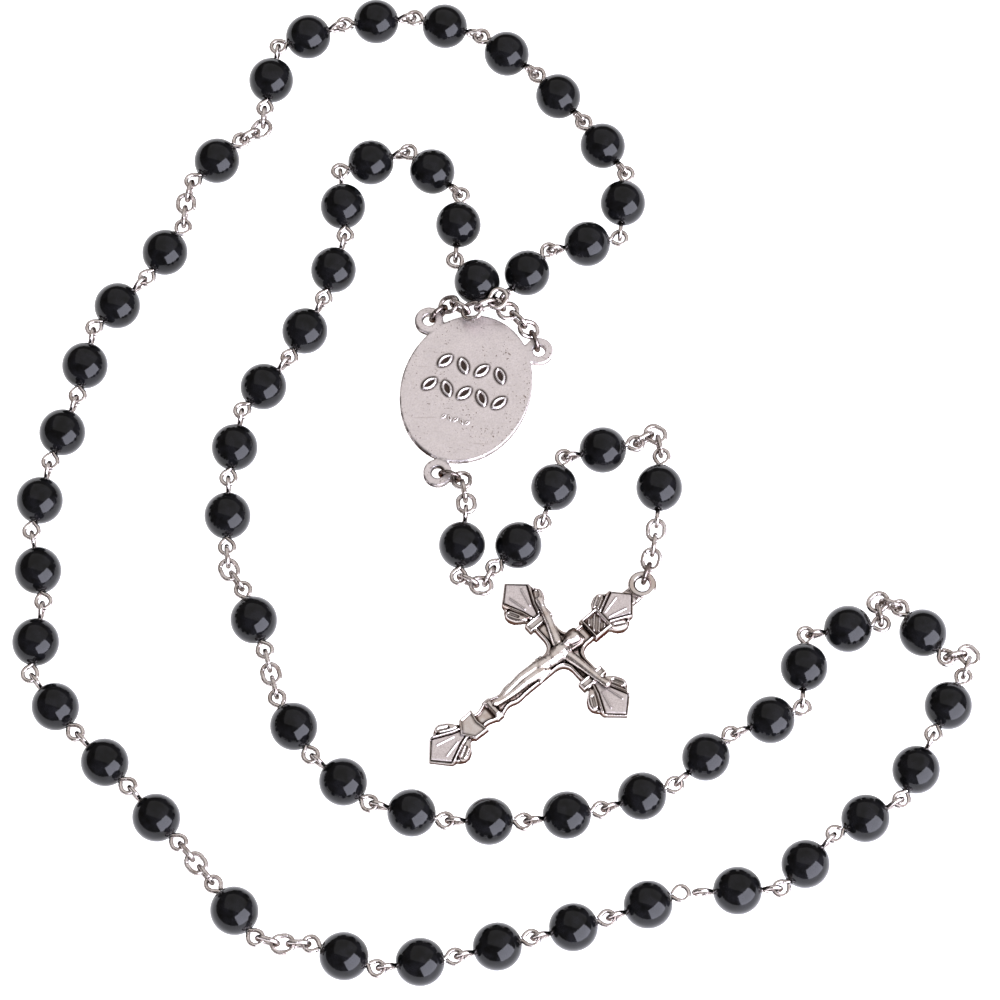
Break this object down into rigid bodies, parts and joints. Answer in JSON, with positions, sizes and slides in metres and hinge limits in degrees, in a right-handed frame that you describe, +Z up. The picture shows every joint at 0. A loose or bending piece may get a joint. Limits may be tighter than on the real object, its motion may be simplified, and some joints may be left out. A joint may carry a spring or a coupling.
{
  "type": "rosary",
  "caption": "Rosary laid flat: a closed loop of round glossy beads on looped wire pins with chain gaps, a plain oval medal and a cast crucifix.",
  "frame": {"origin": "middle of the laid-out rosary, on the table it lies on", "axes": "+Z up from the table, +Y away from the viewer in the laid-out picture, +X to the right"},
  "size_m": [0.145, 0.1616, 0.0071],
  "materials": {
    "bead": "glossy jet black",
    "wire": "bright silver-coloured wire",
    "link": "silver-coloured wire, slightly tarnished",
    "medal": "satin antiqued silver with dark patina in the recesses",
    "cross": "antiqued silver, dark in the recesses",
    "figure": "polished antiqued silver"
  },
  "bodies": {
    "medal": {"medal": "medal", "chain_a": "link", "chain_b": "link"},
    "beads_01_03": {"beads_01_03_black": "bead", "beads_01_03_pins": "wire"},
    "beads_04_07": {"beads_04_07_black": "bead", "beads_04_07_pins": "wire"},
    "beads_08_10": {"beads_08_10_black": "bead", "beads_08_10_pins": "wire"},
    "chain_d": {"chain_d": "link"},
    "bead_11": {"bead_11_pins": "wire"},
    "loose_bead_11": {"bead_11_black": "bead"},
    "chain_e": {"chain_e": "link"},
    "beads_12_14": {"beads_12_14_black": "bead", "beads_12_14_pins": "wire"},
    "beads_15_18": {"beads_15_18_black": "bead", "beads_15_18_pins": "wire"},
    "beads_19_21": {"beads_19_21_black": "bead", "beads_19_21_pins": "wire"},
    "chain_f": {"chain_f": "link"},
    "bead_22": {"bead_22_pins": "wire"},
    "loose_bead_22": {"bead_22_black": "bead"},
    "chain_g": {"chain_g": "link"},
    "beads_23_27": {"beads_23_27_black": "bead", "beads_23_27_pins": "wire"},
    "beads_54_52": {"beads_54_52_black": "bead", "beads_54_52_pins": "wire"},
    "beads_51_48": {"beads_51_48_black": "bead", "beads_51_48_pins": "wire"},
    "beads_47_45": {"beads_47_45_black": "bead", "beads_47_45_pins": "wire"},
    "chain_h": {"chain_h": "link"},
    "bead_44": {"bead_44_pins": "wire"},
    "loose_bead_44": {"bead_44_black": "bead"},
    "chain_i": {"chain_i": "link"},
    "beads_43_41": {"beads_43_41_black": "bead", "beads_43_41_pins": "wire"},
    "beads_40_37": {"beads_40_37_black": "bead", "beads_40_37_pins": "wire"},
    "beads_36_34": {"beads_36_34_black": "bead", "beads_36_34_pins": "wire"},
    "chain_j": {"chain_j": "link"},
    "bead_33": {"bead_33_pins": "wire"},
    "loose_bead_33": {"bead_33_black": "bead"},
    "chain_k": {"chain_k": "link"},
    "beads_32_28": {"beads_32_28_black": "bead", "beads_32_28_pins": "wire"},
    "chain_c": {"chain_c": "link"},
    "bead_55": {"bead_55_pins": "wire"},
    "loose_bead_55": {"bead_55_black": "bead"},
    "chain_l": {"chain_l": "link"},
    "beads_56_58": {"beads_56_58_black": "bead", "beads_56_58_pins": "wire"},
    "chain_m": {"chain_m": "link"},
    "bead_59": {"bead_59_pins": "wire"},
    "loose_bead_59": {"bead_59_black": "bead"},
    "chain_n": {"chain_n": "link"},
    "crucifix": {"cross": "cross", "corpus": "figure"}
  },
  "joints": [
    {"name": "swing_beads_01_03", "type": "hinge", "parent": "medal", "child": "beads_01_03", "pos_m": [0.00144, 0.02783, 0.00534], "axis": [0, 0, -1], "range_deg": [0, 2]},
    {"name": "swing_beads_04_07", "type": "hinge", "parent": "beads_01_03", "child": "beads_04_07", "pos_m": [0.02143, 0.04997, 0.00355], "axis": [0, 0, -1], "range_deg": [0, 10]},
    {"name": "swing_beads_08_10", "type": "hinge", "parent": "beads_04_07", "child": "beads_08_10", "pos_m": [-0.01204, 0.07795, 0.00355], "axis": [0, 0, -1], "range_deg": [0, 10]},
    {"name": "swing_chain_d", "type": "hinge", "parent": "beads_08_10", "child": "chain_d", "pos_m": [-0.03561, 0.06166, 0.00355], "axis": [0, 0, -1], "range_deg": [0, 10]},
    {"name": "swing_bead_11", "type": "hinge", "parent": "chain_d", "child": "bead_11", "pos_m": [-0.0393, 0.05591, 0.00355], "axis": [0, 0, -1], "range_deg": [0, 10]},
    {"name": "swing_chain_e", "type": "hinge", "parent": "bead_11", "child": "chain_e", "pos_m": [-0.04661, 0.04877, 0.00355], "axis": [0, 0, -1], "range_deg": [0, 10]},
    {"name": "swing_beads_12_14", "type": "hinge", "parent": "chain_e", "child": "beads_12_14", "pos_m": [-0.04793, 0.04069, 0.00355], "axis": [0, 0, -1], "range_deg": [0, 10]},
    {"name": "swing_beads_15_18", "type": "hinge", "parent": "beads_12_14", "child": "beads_15_18", "pos_m": [-0.06319, 0.01201, 0.00355], "axis": [0, 0, -1], "range_deg": [0, 10]},
    {"name": "swing_beads_19_21", "type": "hinge", "parent": "beads_15_18", "child": "beads_19_21", "pos_m": [-0.06834, -0.03322, 0.00355], "axis": [0, 0, -1], "range_deg": [0, 10]},
    {"name": "swing_chain_f", "type": "hinge", "parent": "beads_19_21", "child": "chain_f", "pos_m": [-0.04537, -0.05932, 0.00355], "axis": [0, 0, -1], "range_deg": [0, 10]},
    {"name": "swing_bead_22", "type": "hinge", "parent": "chain_f", "child": "bead_22", "pos_m": [-0.04009, -0.06561, 0.00355], "axis": [0, 0, -1], "range_deg": [0, 10]},
    {"name": "swing_chain_g", "type": "hinge", "parent": "bead_22", "child": "chain_g", "pos_m": [-0.03379, -0.07366, 0.00355], "axis": [0, 0, -1], "range_deg": [0, 15]},
    {"name": "swing_beads_23_27", "type": "hinge", "parent": "chain_g", "child": "beads_23_27", "pos_m": [-0.0257, -0.07459, 0.00355], "axis": [0, 0, -1], "range_deg": [0, 20]},
    {"name": "swing_beads_54_52", "type": "hinge", "parent": "medal", "child": "beads_54_52", "pos_m": [0.00254, 0.02631, 0.00346], "axis": [0, 0, 1], "range_deg": [0, 0.8]},
    {"name": "swing_beads_51_48", "type": "hinge", "parent": "beads_54_52", "child": "beads_51_48", "pos_m": [-0.01277, 0.0539, 0.00355], "axis": [0, 0, 1], "range_deg": [0, 3]},
    {"name": "swing_beads_47_45", "type": "hinge", "parent": "beads_51_48", "child": "beads_47_45", "pos_m": [-0.03083, 0.01833, 0.00355], "axis": [0, 0, 1], "range_deg": [0, 1.5]},
    {"name": "swing_chain_h", "type": "hinge", "parent": "beads_47_45", "child": "chain_h", "pos_m": [-0.03958, -0.01298, 0.00355], "axis": [0, 0, 1], "range_deg": [0, 1.5]},
    {"name": "swing_bead_44", "type": "hinge", "parent": "chain_h", "child": "bead_44", "pos_m": [-0.03696, -0.01987, 0.00355], "axis": [0, 0, 1], "range_deg": [0, 1.5]},
    {"name": "swing_chain_i", "type": "hinge", "parent": "bead_44", "child": "chain_i", "pos_m": [-0.03348, -0.02948, 0.00355], "axis": [0, 0, 1], "range_deg": [0, 1.5]},
    {"name": "swing_beads_43_41", "type": "hinge", "parent": "chain_i", "child": "beads_43_41", "pos_m": [-0.03146, -0.03704, 0.00355], "axis": [0, 0, 1], "range_deg": [0, 1.5]},
    {"name": "swing_beads_40_37", "type": "hinge", "parent": "beads_43_41", "child": "beads_40_37", "pos_m": [-0.0064, -0.056, 0.00355], "axis": [0, 0, 1], "range_deg": [0, 4]},
    {"name": "swing_beads_36_34", "type": "hinge", "parent": "beads_40_37", "child": "beads_36_34", "pos_m": [0.03578, -0.04278, 0.00355], "axis": [0, 0, 1], "range_deg": [0, 15]},
    {"name": "swing_chain_j", "type": "hinge", "parent": "beads_36_34", "child": "chain_j", "pos_m": [0.0587, -0.0253, 0.00355], "axis": [0, 0, 1], "range_deg": [0, 15]},
    {"name": "swing_bead_33", "type": "hinge", "parent": "chain_j", "child": "bead_33", "pos_m": [0.06163, -0.02278, 0.00355], "axis": [0, 0, 1], "range_deg": [0, 15]},
    {"name": "swing_chain_k", "type": "hinge", "parent": "bead_33", "child": "chain_k", "pos_m": [0.06814, -0.03066, 0.00355], "axis": [0, 0, 1], "range_deg": [0, 15]},
    {"name": "swing_beads_32_28", "type": "hinge", "parent": "chain_k", "child": "beads_32_28", "pos_m": [0.07059, -0.03371, 0.00355], "axis": [0, 0, 1], "range_deg": [0, 15]},
    {"name": "swing_chain_c", "type": "hinge", "parent": "medal", "child": "chain_c", "pos_m": [-0.00602, -0.00075, 0.0019], "axis": [0, 0, 1], "range_deg": [0, 2]},
    {"name": "swing_bead_55", "type": "hinge", "parent": "chain_c", "child": "bead_55", "pos_m": [-0.00346, -0.00613, 0.00343], "axis": [0, 0, 1], "range_deg": [0, 4]},
    {"name": "swing_chain_l", "type": "hinge", "parent": "bead_55", "child": "chain_l", "pos_m": [-0.00459, -0.01774, 0.00355], "axis": [0, 0, 1], "range_deg": [0, 3]},
    {"name": "swing_beads_56_58", "type": "hinge", "parent": "chain_l", "child": "beads_56_58", "pos_m": [0.0008, -0.01628, 0.00355], "axis": [0, 0, 1], "range_deg": [0, 3]},
    {"name": "swing_chain_m", "type": "hinge", "parent": "beads_56_58", "child": "chain_m", "pos_m": [0.0223, 0.004, 0.00355], "axis": [0, 0, 1], "range_deg": [0, 4]},
    {"name": "swing_bead_59", "type": "hinge", "parent": "chain_m", "child": "bead_59", "pos_m": [0.02627, 0.00183, 0.00355], "axis": [0, 0, 1], "range_deg": [0, 5]},
    {"name": "swing_chain_n", "type": "hinge", "parent": "bead_59", "child": "chain_n", "pos_m": [0.02527, -0.00986, 0.00328], "axis": [0, 0, 1], "range_deg": [0, 6]},
    {"name": "bail_lift", "type": "hinge", "parent": "chain_n", "child": "crucifix", "pos_m": [0.02375, -0.0166, 0.00187], "axis": [-0.9397, 0.342, 0], "range_deg": [0, 90]},
    {"name": "spin_bead_11", "type": "hinge", "parent": "bead_11", "child": "loose_bead_11", "pos_m": [-0.04296, 0.05234, 0.00355], "axis": [-0.7149, -0.6993, 0], "continuous": true},
    {"name": "spin_bead_22", "type": "hinge", "parent": "bead_22", "child": "loose_bead_22", "pos_m": [-0.03694, -0.06964, 0.00355], "axis": [0.6164, -0.7874, 0], "continuous": true},
    {"name": "spin_bead_44", "type": "hinge", "parent": "bead_44", "child": "loose_bead_44", "pos_m": [-0.03522, -0.02468, 0.00355], "axis": [0.3403, -0.9403, 0], "continuous": true},
    {"name": "spin_bead_33", "type": "hinge", "parent": "bead_33", "child": "loose_bead_33", "pos_m": [0.06488, -0.02672, 0.00355], "axis": [0.6376, -0.7703, 0], "continuous": true},
    {"name": "spin_bead_55", "type": "hinge", "parent": "bead_55", "child": "loose_bead_55", "pos_m": [-0.00409, -0.01266, 0.00355], "axis": [-0.0973, -0.9953, 0], "continuous": true},
    {"name": "spin_bead_59", "type": "hinge", "parent": "bead_59", "child": "loose_bead_59", "pos_m": [0.02583, -0.00327, 0.00355], "axis": [-0.0847, -0.9964, 0], "continuous": true}
  ]
}
